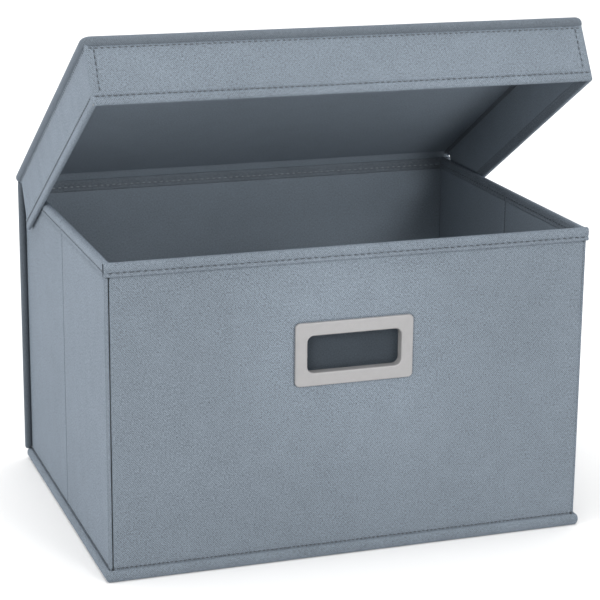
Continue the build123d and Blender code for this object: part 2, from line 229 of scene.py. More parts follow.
def soft_box(name, matrix, across, along, depth, radius, material, body, slot, replaced=(),
             cell=5 * MM, grooves=(), wave=0.25 * MM, pocket=None, outline=None, streak=0.0):
    """A cloth-covered slab with rounded edges: across (a), along (b) and depth (c), c outward.

    grooves are (axis, position, width, depth) lines pressed into the outer face, pocket is
    (margin, level): the inner face is hollowed to that level, inside the margin.
    outline is (centre, size, corner, width, depth): a groove round a rectangle on the outer face.
    streak is the height of soft pleats that run up the outer face."""
    marks = {0: [], 1: []}
    for axis, position, width, _ in grooves:
        marks[axis].append((position, width))
    if outline:
        for axis in (0, 1):
            for turn in (-0.5, 0.5):
                marks[axis].append((outline[0][axis] + turn * outline[1][axis], OUTLINE_MARK))
    if pocket:
        for axis, span in ((0, across), (1, along)):
            marks[axis] += [(edge, POCKET_MARK) for edge in shrunk(span, pocket[0])]
    grid = [steps(*across, radius, cell, marks[0]), steps(*along, radius, cell, marks[1]),
            steps(*depth, min(radius, (depth[1] - depth[0]) / 2), UNDIVIDED)]
    low = np.array([across[0], along[0], depth[0]])
    high = np.array([across[1], along[1], depth[1]])
    radii = np.minimum(radius, (high - low) / 2)
    index, points, faces, uvs = {}, [], [], []

    def vertex(i, j, k):
        if (i, j, k) not in index:
            index[i, j, k] = len(points)
            points.append((grid[0][i], grid[1][j], grid[2][k]))
        return index[i, j, k]

    def sheet_of_faces(normal_axis, end):
        first, second = [axis for axis in (0, 1, 2) if axis != normal_axis]
        fixed = (len(grid[normal_axis]) - 1) * end
        turned = bool(end) ^ (normal_axis == 1)
        for i in range(len(grid[first]) - 1):
            for j in range(len(grid[second]) - 1):
                corners = []
                for di, dj in ((0, 0), (1, 0), (1, 1), (0, 1)):
                    place_at = [0, 0, 0]
                    place_at[normal_axis], place_at[first], place_at[second] = fixed, i + di, j + dj
                    uv = (grid[first][i + di], grid[second][j + dj])
                    if normal_axis == 0:
                        uv = (uv[1] + END_SHIFT, uv[0])
                    corners.append((vertex(*place_at), uv))
                if not turned:
                    corners.reverse()
                faces.append([corner[0] for corner in corners])
                uvs.append([corner[1] for corner in corners])

    for normal_axis in range(3):
        for end in (0, 1):
            sheet_of_faces(normal_axis, end)
    points = np.array(points)
    inner = np.clip(points, low + radii, high - radii)
    away = points - inner
    distance = np.linalg.norm(away / radii, axis=1)
    rounded = inner + away / np.maximum(distance, TINY)[:, None]
    outer = points[:, 2] >= high[2] - TINY
    inside = points[:, 2] <= low[2] + TINY
    lift = np.zeros(len(points))
    for axis, position, width, size in grooves:
        lift -= size * np.exp(-(((points[:, axis] - position) / width) ** 2))
    if outline:
        centre, size, corner, width, pressed = outline
        beyond = np.abs(points[:, :2] - centre) - np.array(size) / 2 + corner
        distance = np.linalg.norm(np.maximum(beyond, 0), axis=1)
        distance += np.minimum(beyond.max(axis=1), 0) - corner
        lift -= pressed * np.exp(-((distance / width) ** 2))
    if pocket:
        within = inside.copy()
        for axis, span in ((0, across), (1, along)):
            start, stop = shrunk(span, pocket[0])
            within &= (points[:, axis] > start) & (points[:, axis] < stop)
        rounded[within, 2] = pocket[1]
    world = place(matrix, rounded)
    edge = np.ones(len(points))
    for axis in (0, 1):
        gap = np.minimum(points[:, axis] - low[axis], high[axis] - points[:, axis])
        edge *= np.clip(gap / EDGE_FADE, 0, 1)
    lift += wave * waviness(world) * edge
    slant = points[:, 0] + STREAK_LEAN * points[:, 1]
    for length, phase in STREAKS:
        lift += streak * edge * np.sin(slant * 2 * math.pi / length + phase) * length / STREAKS[0][0]
    world += (lift * outer)[:, None] * matrix[:3, 2]
    return build(name, world, faces, uvs, material, body, replaced)


def sweep(name, matrix, path, outs, profile, material, body, replaced=(),
          closed_path=False, shift=None, wave=0.15 * MM):
    """A closed profile of (out, c) points carried along a path of (a, b) points in the plane of
    matrix. outs are the path's outward directions. shift(length, profile) gives how far the
    profile's points move away from its middle, at a length along the path."""
    path, outs, profile = np.array(path), np.array(outs), np.array(profile)
    rim = path + outs * profile[:, 0].max()
    lengths = distances(rim)
    ring = len(profile)
    around = distances(np.vstack([profile, profile[:1]]))
    centre = profile.mean(axis=0)
    radial = profile - centre
    radial /= np.linalg.norm(radial, axis=1)[:, None]
    local = []
    for point, out, length in zip(path, outs, lengths):
        offset = shift(length, profile) if shift else np.zeros(ring)
        moved = profile + radial * offset[:, None]
        for across, height in moved:
            local.append((point[0] + out[0] * across, point[1] + out[1] * across, height))
    world = place(matrix, local)
    swing = np.tile(radial, (len(path), 1)) * (wave * waviness(world))[:, None]
    out_rows = np.repeat(outs, ring, axis=0)
    world += (out_rows * swing[:, :1]) @ matrix[:3, :2].T + swing[:, 1:] * matrix[:3, 2]
    faces, uvs = [], []
    rows = len(path)
    for i in range(rows if closed_path else rows - 1):
        following = (i + 1) % rows
        next_length = lengths[i + 1] if i + 1 < rows else lengths[-1] + np.linalg.norm(rim[0] - rim[-1])
        for j in range(ring):
            k = (j + 1) % ring
            faces.append([i * ring + j, following * ring + j, following * ring + k, i * ring + k])
            uvs.append([(lengths[i], around[j]), (next_length, around[j]),
                        (next_length, around[j + 1]), (lengths[i], around[j + 1])])
    if not closed_path:
        for row, turned in ((0, False), (rows - 1, True)):
            loop = [row * ring + j for j in range(ring)]
            flat = [tuple(profile[j]) for j in range(ring)]
            if turned:
                loop.reverse()
                flat.reverse()
            faces.append(loop)
            uvs.append(flat)
    return build(name, world, faces, uvs, material, body, replaced)


# ---- materials ----
class Nodes:
    """Short way to write a node tree."""

    def __init__(self, name):
        self.material = bpy.data.materials.new(name)
        self.material.use_nodes = True
        self.tree = self.material.node_tree
        self.shader = self.tree.nodes["Principled BSDF"]

    def place(self):
        return self.add("ShaderNodeTexCoord").outputs["Object"]

    def cloth_uv(self):
        """The UV map, and its u and v."""
        uv = self.add("ShaderNodeUVMap", uv_map="cloth")
        split = self.add("ShaderNodeSeparateXYZ")
        self.link(uv.outputs[0], split.inputs[0])
        return uv.outputs[0], split.outputs[0], split.outputs[1]

    def add(self, kind, **settings):
        node = self.tree.nodes.new(kind)
        for key, value in settings.items():
            setattr(node, key, value)
        return node

    def link(self, value, socket):
        if isinstance(value, (int, float)):
            socket.default_value = value
        else:
            self.tree.links.new(value, socket)

    def math(self, operation, first, second=0.0, third=0.0):
        node = self.add("ShaderNodeMath", operation=operation)
        for value, socket in zip((first, second, third), node.inputs):
            self.link(value, socket)
        return node.outputs[0]

    def wave(self, value, period):
        """0 to 1 along value, once a period."""
        sine = self.math("SINE", self.math("MULTIPLY", value, 2 * math.pi / period))
        return self.math("MULTIPLY_ADD", sine, 0.5, 0.5)

    def noise(self, vector, scale, detail=2.0, roughness=0.5):
        node = self.add("ShaderNodeTexNoise")
        self.link(vector, node.inputs["Vector"])
        node.inputs["Scale"].default_value = scale
        node.inputs["Detail"].default_value = detail
        node.inputs["Roughness"].default_value = roughness
        return node.outputs["Fac"]

    def vector(self, x, y):
        node = self.add("ShaderNodeCombineXYZ")
        for value, socket in zip((x, y), node.inputs):
            self.link(value, socket)
        return node.outputs[0]

    def ramp(self, factor, stops):
        node = self.add("ShaderNodeValToRGB")
        self.link(factor, node.inputs[0])
        elements = node.color_ramp.elements
        elements[0].position, elements[0].color = stops[0][0], (*stops[0][1], 1)
        elements[1].position, elements[1].color = stops[-1][0], (*stops[-1][1], 1)
        for position, colour in stops[1:-1]:
            element = elements.new(position)
            element.color = (*colour, 1)
        return node.outputs[0]

    def bump(self, height, strength, distance, normal=None):
        node = self.add("ShaderNodeBump")
        self.link(height, node.inputs["Height"])
        node.inputs["Strength"].default_value = strength
        node.inputs["Distance"].default_value = distance
        if normal is not None:
            self.link(normal, node.inputs["Normal"])
        return node.outputs[0]


def tint(colour, share):
    return tuple(min(1.0, channel * share) for channel in colour)


def cloth_material(name, colour, pitch=1.7 * MM, contrast=0.16, blotch=0.05, relief=0.5, sheen=0.12):
    """Matte twill of mixed light and dark yarns: diagonal ribs, crossing yarns, flecks."""
    nodes = Nodes(name)
    uv, u, v = nodes.cloth_uv()
    jitter = nodes.noise(uv, 320, 3, 0.7)
    drift = nodes.math("MULTIPLY_ADD", jitter, 1.5 * MM, -0.75 * MM)
    rib_line = nodes.math("ADD", nodes.math("ADD", u, nodes.math("MULTIPLY", v, 0.9)), drift)
    ribs = nodes.wave(rib_line, pitch)
    warp = nodes.wave(nodes.math("ADD", u, drift), 0.62 * MM)
    weft = nodes.wave(nodes.math("ADD", v, drift), 0.55 * MM)
    yarns = nodes.math("MULTIPLY", warp, weft)
    fleck_a = nodes.noise(nodes.vector(nodes.math("MULTIPLY", u, 0.4), v), 1350, 2, 0.7)
    fleck_b = nodes.noise(nodes.vector(u, nodes.math("MULTIPLY", v, 0.4)), 1350, 2, 0.7)
    flecks = nodes.math("MULTIPLY", nodes.math("ADD", fleck_a, fleck_b), 0.5)
    place_of = nodes.place()
    patches = nodes.noise(place_of, 9, 3)
    dust = nodes.noise(place_of, 60, 4, 0.6)
    mixed = nodes.math("MULTIPLY_ADD", ribs, 0.20, -0.15 - 3 * blotch)
    mixed = nodes.math("MULTIPLY_ADD", yarns, 0.20, mixed)
    mixed = nodes.math("ADD", nodes.math("MULTIPLY_ADD", flecks, 1.3, -0.15), mixed)
    mixed = nodes.math("MULTIPLY_ADD", patches, blotch * 3, mixed)
    mixed = nodes.math("MULTIPLY_ADD", dust, blotch * 3, mixed)
    colours = nodes.ramp(mixed, [(0.2, tint(colour, 1 - contrast)), (0.5, colour),
                                 (0.8, tint(colour, 1 + contrast))])
    nodes.link(colours, nodes.shader.inputs["Base Color"])
    height = nodes.math("MULTIPLY_ADD", ribs, 0.6, nodes.math("MULTIPLY", yarns, 0.35))
    height = nodes.math("MULTIPLY_ADD", flecks, 0.5, height)
    soft = nodes.bump(nodes.noise(place_of, 45, 2), 0.25, 0.6 * MM)
    nodes.link(nodes.bump(height, relief, 0.18 * MM, soft), nodes.shader.inputs["Normal"])
    rough = nodes.math("MULTIPLY_ADD", flecks, 0.15, 0.78)
    nodes.link(rough, nodes.shader.inputs["Roughness"])
    nodes.shader.inputs["Sheen Weight"].default_value = sheen
    nodes.shader.inputs["Sheen Tint"].default_value = (0.62, 0.78, 1.0, 1)
    nodes.shader.inputs["Sheen Roughness"].default_value = 0.55
    nodes.shader.inputs["Specular IOR Level"].default_value = 0.25
    return nodes.material


def thread_material(name, colour):
    """Twisted sewing thread."""
    nodes = Nodes(name)
    _, u, v = nodes.cloth_uv()
    twist = nodes.wave(nodes.math("ADD", u, v), 0.5 * MM)
    nodes.link(nodes.ramp(twist, [(0.0, tint(colour, 0.8)), (1.0, tint(colour, 1.1))]),
               nodes.shader.inputs["Base Color"])
    nodes.link(nodes.bump(twist, 0.4, 0.08 * MM), nodes.shader.inputs["Normal"])
    nodes.shader.inputs["Roughness"].default_value = 0.6
    return nodes.material


def board_material(name):
    """Uncoated grey board: pressed fibres and specks."""
    nodes = Nodes(name)
    place_of = nodes.place()
    fibres = nodes.noise(place_of, 420, 4, 0.65)
    specks = nodes.noise(place_of, 90, 3)
    mixed = nodes.math("MULTIPLY_ADD", specks, 0.5, nodes.math("MULTIPLY", fibres, 0.5))
    nodes.link(nodes.ramp(mixed, [(0.3, (0.26, 0.235, 0.2)), (0.7, (0.46, 0.42, 0.36))]),
               nodes.shader.inputs["Base Color"])
    nodes.link(nodes.bump(fibres, 0.4, 0.15 * MM), nodes.shader.inputs["Normal"])
    nodes.shader.inputs["Roughness"].default_value = 0.9
    return nodes.material


def handle_material(name):
    """Moulded satin plastic, warm light grey, with fine sparkle and scattered scuffs."""
    nodes = Nodes(name)
    place_of = nodes.place()
    grain = nodes.noise(place_of, 2200, 2, 0.6)
    scuffs = nodes.noise(place_of, 130, 4, 0.6)
    mixed = nodes.math("MULTIPLY_ADD", scuffs, 0.5, nodes.math("MULTIPLY", grain, 0.5))
    nodes.link(nodes.ramp(mixed, [(0.3, (0.178, 0.176, 0.177)), (0.7, (0.204, 0.202, 0.203))]),
               nodes.shader.inputs["Base Color"])
    nodes.link(nodes.bump(grain, 0.25, 0.05 * MM), nodes.shader.inputs["Normal"])
    nodes.link(nodes.math("MULTIPLY_ADD", scuffs, 0.2, 0.36), nodes.shader.inputs["Roughness"])
    nodes.shader.inputs["Metallic"].default_value = 0.0
    nodes.shader.inputs["Specular IOR Level"].default_value = 0.5
    return nodes.material


BLUE_GREY = (0.112, 0.133, 0.156)
COVER = cloth_material("cover_cloth", BLUE_GREY, contrast=0.8, blotch=0.03)
BINDING = cloth_material("binding_cloth", tint(BLUE_GREY, 0.97), contrast=0.8, relief=0.45)
LINING = cloth_material("lining_cloth", (0.155, 0.187, 0.221), pitch=1.2 * MM, contrast=0.30,
                        relief=0.3, sheen=0.06)
PIPING = cloth_material("piping_cloth", tint(BLUE_GREY, 0.66), contrast=0.5, relief=0.45)
THREAD = thread_material("thread_dark", (0.030, 0.038, 0.048))
THREAD_LIGHT = thread_material("thread_light", (0.22, 0.25, 0.28))
BOARD = board_material("grey_board")
HANDLE = handle_material("handle_plastic")

for node_name, node in frame["nodes"].items():
    if node_name.endswith("board"):
        node.data.materials.clear()
        node.data.materials.append(BOARD)
    elif node_name.startswith("handle"):
        node.data.materials.clear()
        node.data.materials.append(HANDLE)


# ---- helpers for pieces ----
def local_span(node, matrix):
    """A CAD node's box in a frame's own a, b and c."""
    ends = (np.array(corners_of(node)) - matrix[:3, 3]) @ matrix[:3, :3]
    return [tuple(sorted(pair)) for pair in ends.T]


def inside_of(matrix, thickness):
    """The same wall seen from its inner face: a is reversed and c points into the box."""
    turned = matrix.copy()
    turned[:3, 0] = -matrix[:3, 0]
    turned[:3, 2] = -matrix[:3, 2]
    turned[:3, 3] = matrix[:3, 3] - thickness * matrix[:3, 2]
    return turned


CORNER_STEPS = 8
CUTTER_REACH = 20 * MM


def rounded_outline(width, height, radius):
    """Points round a rounded rectangle about the origin."""
    points = []
    for corner, (sx, sy) in enumerate(((1, 1), (-1, 1), (-1, -1), (1, -1))):
        for step in range(CORNER_STEPS + 1):
            angle = (corner + step / CORNER_STEPS) * math.pi / 2
            points.append((sx * (width / 2 - radius) + radius * math.cos(angle),
                           sy * (height / 2 - radius) + radius * math.sin(angle)))
    return points


def cut_slot(piece, matrix, centre, size, radius):
    """Cuts the hand slot's hole through a piece."""
    outline = rounded_outline(*size, radius)
    count = len(outline)
    points = [(x + centre[0], y + centre[1], c) for c in (-CUTTER_REACH, CUTTER_REACH)
              for x, y in outline]
    mesh = bpy.data.meshes.new("cutter")
    faces = [[i, (i + 1) % count, count + (i + 1) % count, count + i] for i in range(count)]
    faces += [list(range(count))[::-1], list(range(count, 2 * count))]
    mesh.from_pydata([tuple(p) for p in place(matrix, points)], [], faces)
    cutter = add_object("cutter", mesh)
    fix_normals(cutter)
    boolean = piece.modifiers.new("slot", "BOOLEAN")
    boolean.object, boolean.operation, boolean.solver = cutter, "DIFFERENCE", "EXACT"
    bpy.context.view_layer.update()
    cut = bpy.data.meshes.new_from_object(piece.evaluated_get(bpy.context.evaluated_depsgraph_get()))
    piece.modifiers.clear()
    piece.data = cut
    bpy.data.objects.remove(cutter)


HEM_SWELLS = ((0.62 * MM, 0.10, 0.10),  # roll at the open edge: height, middle and width as shares
              (0.5 * MM, 0.62, 0.28),  # puff above the seam
              (-0.36 * MM, SEAM_SHARE, 0.075))  # drawn in at the seam
OPEN_EDGE = (0.45 * MM, 0.035)  # how much, and over what share, the open edge turns in
FACE_STEPS = 22
FOLD_STEPS = 7
INNER_FLATNESS = 0.6  # the inner face of a hem lies this much flatter


def hem_profile(low, top, inner, outer, cloth, rounding, at_top=True, relief=1.0):
    """Cloth folded over an edge, as (c, height) points: open edge at low, fold at top, faces at
    inner and outer. Each face is puffed above its seam, drawn in at it and rolled below it."""
    sign = 1 if at_top else -1
    length = abs(top - low)
    face = []
    for share in np.linspace(0.0, 1 - rounding / length, FACE_STEPS):
        raised = sum(size * relief * math.exp(-(((share - middle) / width) ** 2))
                     for size, middle, width in HEM_SWELLS)
        turned = OPEN_EDGE[0] * math.exp(-((share / OPEN_EDGE[1]) ** 2))
        face.append((outer + raised - turned, low + sign * share * length, raised))
    for step in range(1, FOLD_STEPS + 1):
        angle = math.pi / 2 * step / FOLD_STEPS
        face.append((outer - rounding * (1 - math.cos(angle)),
                     top - sign * rounding * (1 - math.sin(angle)), 0))
    mirrored = [(inner + outer - across + INNER_FLATNESS * raised, height)
                for across, height, raised in reversed(face)]
    face = [point[:2] for point in face]
    hollow = [(inner + cloth, low), (inner + cloth, top - sign * cloth),
              (outer - cloth, top - sign * cloth), (outer - cloth, low)]
    return face + mirrored + hollow


def rim_hem(inset, cloth, relief):
    """Profile of a hem over a wall's rim for sweep, inset below the walls' own hems."""
    profile = hem_profile(HEM_LOW + inset, RIM - inset, -WALL - HEM_CLOTH + inset, HEM_CLOTH - inset,
                          cloth, HEM_ROUND, relief=relief)
    return [(height, at) for at, height in profile]


def round_ends(total, size, middle):
    """For sweep: draws the outer side of a hem in towards its two ends."""
    def shift(length, profile):
        gap = max(0.0, min(length, total - length))
        share = max(0.0, 1 - gap / size)
        drawn = -size * (1 - math.sqrt(max(0.0, 1 - share * share)))
        offset = np.where(profile[:, 1] > middle, drawn, 0)
        offset[-HOLLOW_POINTS:] = 0
        return np.maximum(offset, -END_DRAW)
    return shift


STITCH_RINGS = [(-0.5, 0.25), (-0.38, 0.8), (0, 1.0), (0.38, 0.8), (0.5, 0.25)]  # place, thickness
STITCH_SIDES = 6
STITCH_SINK = 0.12 * MM  # its ends go this far into the cloth
STITCH_BOW = 0.28 * MM
STITCH_FLATNESS = 1.15  # a thread is this much wider than it is thick
STITCH_STRAY = 0.06 * MM
TWIST_PITCH = 0.3 * MM


def stitches(name, lines, body, material=None, pitch=5.4 * MM, dash=3.3 * MM, radius=0.36 * MM):
    """A seam of short threads. lines are (start, end, normal) in the frame of the model."""
    vertices, faces, uvs = [], [], []
    sides, rings = STITCH_SIDES, STITCH_RINGS
    for start, end, normal in lines:
        start, end, normal = np.array(start, float), np.array(end, float), np.array(normal, float)
        length = np.linalg.norm(end - start)
        along = (end - start) / length
        normal = normal / np.linalg.norm(normal)
        side = np.cross(along, normal)
        count = max(1, int(length / pitch))
        for number in range(count):
            middle = start + along * (number + 0.5) * length / count
            middle = middle + side * RNG.normal() * STITCH_STRAY
            first = len(vertices)
            for position, share in rings:
                bow = -STITCH_SINK + STITCH_BOW * (1 - (2 * position) ** 2)
                for corner in range(sides):
                    angle = 2 * math.pi * corner / sides
                    offset = side * math.cos(angle) * radius * share * STITCH_FLATNESS
                    offset = offset + normal * math.sin(angle) * radius * share
                    vertices.append(middle + along * position * dash + offset + normal * bow)
            for ring_number in range(len(rings) - 1):
                for corner in range(sides):
                    a = first + ring_number * sides + corner
                    b = first + ring_number * sides + (corner + 1) % sides
                    faces.append([a, b, b + sides, a + sides])
                    u = rings[ring_number][0] * dash
                    w = rings[ring_number + 1][0] * dash
                    turn, next_turn = corner * TWIST_PITCH, (corner + 1) * TWIST_PITCH
                    uvs.append([(u, turn), (u, next_turn), (w, next_turn), (w, turn)])
            last = first + (len(rings) - 1) * sides
            faces += [list(range(first, first + sides))[::-1], list(range(last, last + sides))]
            uvs += [[(0, 0)] * sides] * 2
    return build(name, vertices, faces, uvs, material or THREAD, body)


# ---- walls ----
WALLS = [("front", FRONT, "front_wall"), ("back", BACK, "box_back"),
         ("left_rear", LEFT, "left_rear_wall"), ("left_front", LEFT, "left_front_wall"),
         ("right_rear", RIGHT, "right_rear_wall"), ("right_front", RIGHT, "right_front_wall")]
FRAME_WIDE, FRAME_TALL = FRAME_HIGH[0] - FRAME_LOW[0], FRAME_HIGH[2] - FRAME_LOW[2]
SLOT_AT = (0.0, (FRAME_LOW[2] + FRAME_HIGH[2]) / 2)
SLOT_SIZE = (FRAME_WIDE - 16.8 * MM, FRAME_TALL - 18.4 * MM)
SLOT_ROUND = 7.1 * MM
FRAME_PRINT = (SLOT_AT, (FRAME_WIDE + 0.6 * MM, FRAME_TALL + 0.6 * MM), 4.3 * MM, 0.55 * MM, 0.8 * MM)
END_WALLS = ("front", "back")
FACE_ROUND = {True: 1.7 * MM, False: 0.8 * MM}  # rounding of the end walls and of the side walls
HEM_ROUND = 2.5 * MM
SIDE_RELIEF = 0.7  # the side walls' hems are this much flatter than the front's
HEM_PAST = 1.4 * MM  # the hems of the end walls reach this far past their covers
HEM_CELL = 4 * MM
HEM_END_STEPS = (0.1 * MM, 0.3 * MM, 0.6 * MM, 1.0 * MM, 1.5 * MM)
POCKET = 0.7 * MM  # margin of a cover's hollow, which holds the board
LINING_INSET = 0.5 * MM
LINING_PROUD = 0.12 * MM
SEAM_INSET = 1 * MM
INNER_SEAM_RAISE = 1.2 * MM
INNER_SEAM_INSET = 5 * MM
CORNER_GROOVE = 2.4 * MM  # from the front's upright edges to the grooves beside them
SEAM_HEIGHT = HEM_LOW + SEAM_SHARE * (HEM + HEM_CLOTH)

for wall, matrix, body in WALLS:
    across, along, depth = local_span(f"{wall}_cover", matrix)
    slotted, at_end = wall == "front", wall in END_WALLS
    grooves = [(1, HEM_LOW - 0.35 * MM, 0.6 * MM, 0.6 * MM), (1, BINDING_TOP + 0.6 * MM, 0.8 * MM, 0.5 * MM)]
    if slotted:
        grooves += [(0, at, 0.9 * MM, pressed) for at, pressed in
                    zip(shrunk(across, CORNER_GROOVE), (1.0 * MM, 0.8 * MM))]
    cover = soft_box(f"cloth_{wall}_cover", matrix, across, along, depth, FACE_ROUND[at_end], COVER, body,
                     "cover_cloth", [f"{wall}_cover"], grooves=grooves, wave=0.3 * MM,
                     pocket=(POCKET, -CLOTH), streak=0 if slotted else 0.05 * MM,
                     outline=FRAME_PRINT if slotted else None)
    inner = inside_of(matrix, WALL)
    inner_across, inner_along, _ = local_span(f"{wall}_cover", inner)
    lining = soft_box(f"cloth_{wall}_lining", inner,
                      shrunk(inner_across, LINING_INSET), shrunk(inner_along, LINING_INSET),
                      (-CLOTH, LINING_PROUD), 0.4 * MM, LINING, body, "lining_cloth",
                      [f"{wall}_lining"], wave=0.2 * MM)
    if slotted:
        for piece in (cover, lining):
            cut_slot(piece, FRONT, SLOT_AT, SLOT_SIZE, SLOT_ROUND)
    first, last = shrunk(across, -HEM_PAST if at_end else 0)
    stretch_a = sorted([*np.linspace(first, last, int((last - first) / HEM_CELL)),
                        *(end + turn * at for end, turn in ((first, 1), (last, -1)) for at in HEM_END_STEPS)])
    sweep(f"cloth_{wall}_hem", matrix, [(a, 0) for a in stretch_a], [(0, 1)] * len(stretch_a),
          rim_hem(0, HEM_CLOTH - 0.05 * MM, 1.0 if at_end else SIDE_RELIEF), BINDING, body,
          [f"{wall}_hem"],
          shift=round_ends(last - first, 1.0 * MM, -WALL / 2) if at_end else None)
    inner_thread = THREAD_LIGHT if wall == "back" else THREAD
    for face_name, face, level, sign, thread in (
            ("outer", HEM_CLOTH + 0.1 * MM, SEAM_HEIGHT, 1, THREAD),
            ("inner", -WALL - HEM_CLOTH - 0.05 * MM, SEAM_HEIGHT + INNER_SEAM_RAISE, -1, inner_thread)):
        ends = place(matrix, [(a, level, face) for a in shrunk(across, SEAM_INSET)])
        if sign < 0 and at_end:
            ends += np.array([[1], [-1]]) * matrix[:3, 0] * INNER_SEAM_INSET
        stitches(f"stitch_{wall}_rim_{face_name}", [(ends[0], ends[1], sign * matrix[:3, 2])], body,
                 thread)


# ---- upright cloth between the panels ----
FOLDS = [("rear_fold", 1, "box_back", "{}_rear_wall"), ("crease", 0, "{}_rear_wall", "{}_front_wall"),
         ("front_fold", -1, "{}_front_wall", "front_wall")]
CREASE_SINK = 1.0 * MM  # the cloth in the crease lies this far below the walls' faces
FOLD_PROUD = 0.1 * MM
BRIDGE_LAP = 0.3 * MM  # the hem over a fold reaches this far into its neighbours
BRIDGE_REACH = 2.9 * MM  # and this much further into the front's
BRIDGE_CUTS = 9
for side, matrix, outer_end in (("left", LEFT, 1), ("right", RIGHT, 0)):
    for fold, end, first, second in FOLDS:
        node = f"{side}_{fold}_cloth"
        across, along, depth = local_span(node, matrix)
        piece = soft_box(f"cloth_{node}", matrix, shrunk(across, -FOLD_PROUD), along,
                         (depth[0], depth[1] + (FOLD_PROUD if end else -CREASE_SINK)), 0.3 * MM,
                         COVER if end else PIPING, None, "cover_cloth", [node], cell=0.5 * MM,
                         wave=0.1 * MM)
        inset = 0.05 * MM if end else 0.7 * MM
        bridge_ends = list(shrunk(across, -BRIDGE_LAP))
        if end == -1:
            bridge_ends[outer_end] += BRIDGE_REACH if outer_end else -BRIDGE_REACH
        bridge = sweep(f"cloth_{side}_{fold}_hem", matrix,
                       [(a, 0) for a in np.linspace(*bridge_ends, BRIDGE_CUTS)], [(0, 1)] * BRIDGE_CUTS,
                       rim_hem(inset, 0.4 * MM, SIDE_RELIEF), BINDING, None)
        for part in (piece, bridge):
            if side == "right" and end == -1:
                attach(part, "right_front_wall")
            else:
                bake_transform(part)


# ---- base ----
def flatten(piece):
    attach(piece, "box_back")
    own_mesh(piece)


def base_layer(name, node, radius, material, slot, cell, wave=0, pocket=None):
    """A flat layer of the base, in the place of a CAD node. Returns it and its width and depth."""
    low, high = corners_of(node)
    layer = soft_box(name, FLOOR, *zip(low, high), radius, material, None, slot, [node], cell=cell,
                     wave=wave, pocket=pocket)
    flatten(layer)
    return layer, tuple((high - low)[:2])


bottom, bottom_size = base_layer("cloth_bottom", "base_cloth", 0.3 * MM, COVER, "cover_cloth", 8 * MM)
base_layer("base_board_core", "base_board", 0.2 * MM, BOARD, "board", 30 * MM)
base_layer("cloth_base_board", "base_board_cover", 1.2 * MM, LINING, "lining_cloth", 6 * MM, 0.3 * MM,
           (0.6 * MM, corners_of("base_board")[1][2]))


BEAD_STEPS = 6  # round each corner of the foot's edge and of the lid's roll
ROLL_SQUARENESS = 0.85  # 1 is an ellipse, less is fuller


def roll_profile(width, height):
    """Rolled edge in (out, c): a round bead that dips into a groove beside the wall."""
    points = [(0, 0.25 * MM)]
    for angle in np.radians(np.linspace(-84, 84, 29)):
        points.append((width * math.cos(angle) ** ROLL_SQUARENESS, height / 2 * (1 + math.sin(angle))))
    points += [(0.35 * MM, height - 1.3 * MM), (0, height - 1.6 * MM)]
    return points


def base_path(spacing):
    """Round the foot of the walls: points, outward directions scaled to the edge's width."""
    path, outs = [], []
    corners = [(HALF_WIDTH, -HALF_DEPTH), (HALF_WIDTH, HALF_DEPTH),
               (-HALF_WIDTH, HALF_DEPTH), (-HALF_WIDTH, -HALF_DEPTH)]
    for number, corner in enumerate(corners):
        for step in range(BEAD_STEPS + 1):
            angle = (number - 1 + step / BEAD_STEPS) * math.pi / 2
            outward_y = FRONT_OUT if math.sin(angle) < 0 else BACK_OUT
            path.append(corner)
            outs.append((math.cos(angle), math.sin(angle) * outward_y / SIDE_OUT))
        following = corners[(number + 1) % 4]
        length = math.dist(corner, following)
        count = int(length / spacing)
        last = outs[-1]
        for step in range(1, count):
            share = step / count
            path.append(tuple(a + (b - a) * share for a, b in zip(corner, following)))
            outs.append(last)
    return path, outs


BASE_SWELL = 0.9 * MM  # the foot's rolled edge is this much fuller than its core
BACK_SWELL = 1.3 * MM  # and the back's bound edges
path, outs = base_path(5 * MM)
flatten(sweep("cloth_base_binding", FLOOR, path, outs, roll_profile(SIDE_OUT + BASE_SWELL, BINDING_TOP),
              BINDING, None, ["base_binding"], closed_path=True, wave=0.12 * MM))

for side, matrix in (("left", LEFT), ("right", RIGHT)):
    across, along, depth = local_span(f"back_{side}_binding", matrix)
    soft_box(f"cloth_back_{side}_binding", matrix, across, (along[0], along[1] + 0.5 * MM),
             (depth[0], depth[1] + BACK_SWELL), 2.6 * MM, PIPING, "box_back", "binding_cloth",
             [f"back_{side}_binding"], cell=4 * MM, wave=0.15 * MM)


# ---- lid ----
def on_lid(origin, a, b, c):
    return LID @ axes(origin, a, b, c)


soft_box("cloth_lid_cover", LID, (-PANEL_X, PANEL_X), (-PANEL_FRONT, -PANEL_REAR),
         (-PANEL_FACE - WALL, -PANEL_FACE), 0.5 * MM, COVER, "lid", "cover_cloth", ["lid_cover"],
         wave=0.35 * MM, pocket=(POCKET, -PANEL_FACE - CLOTH))
soft_box("cloth_lid_lining", inside_of(LID, PANEL_FACE + WALL),
         shrunk((-PANEL_X, PANEL_X), LINING_INSET), shrunk((-PANEL_FRONT, -PANEL_REAR), LINING_INSET),
         (-CLOTH, LINING_PROUD), 0.4 * MM,
         LINING, "lid", "lining_cloth", ["lid_lining"], wave=0.25 * MM)


def lid_path(half, front, rear, spacing):
    """From the lid's rear left, round its front, to its rear right, as (x, b) with b = -r."""
    side = np.linspace(rear, front, int((front - rear) / spacing))
    path = [(-half, -r) for r in side]
    outs = [(-1.0, 0.0)] * len(side)
    for corner_x, start in ((-half, math.pi), (half, 1.5 * math.pi)):
        for step in range(1, CORNER_STEPS):
            angle = start + math.pi / 2 * step / CORNER_STEPS
            path.append((corner_x, -front))
            outs.append((math.cos(angle), math.sin(angle)))
        if corner_x < 0:
            for x in np.linspace(-half, half, int(2 * half / spacing)):
                path.append((x, -front))
                outs.append((0.0, -1.0))
    for r in np.linspace(front, rear, len(side)):
        path.append((half, -r))
        outs.append((1.0, 0.0))
    return path, outs


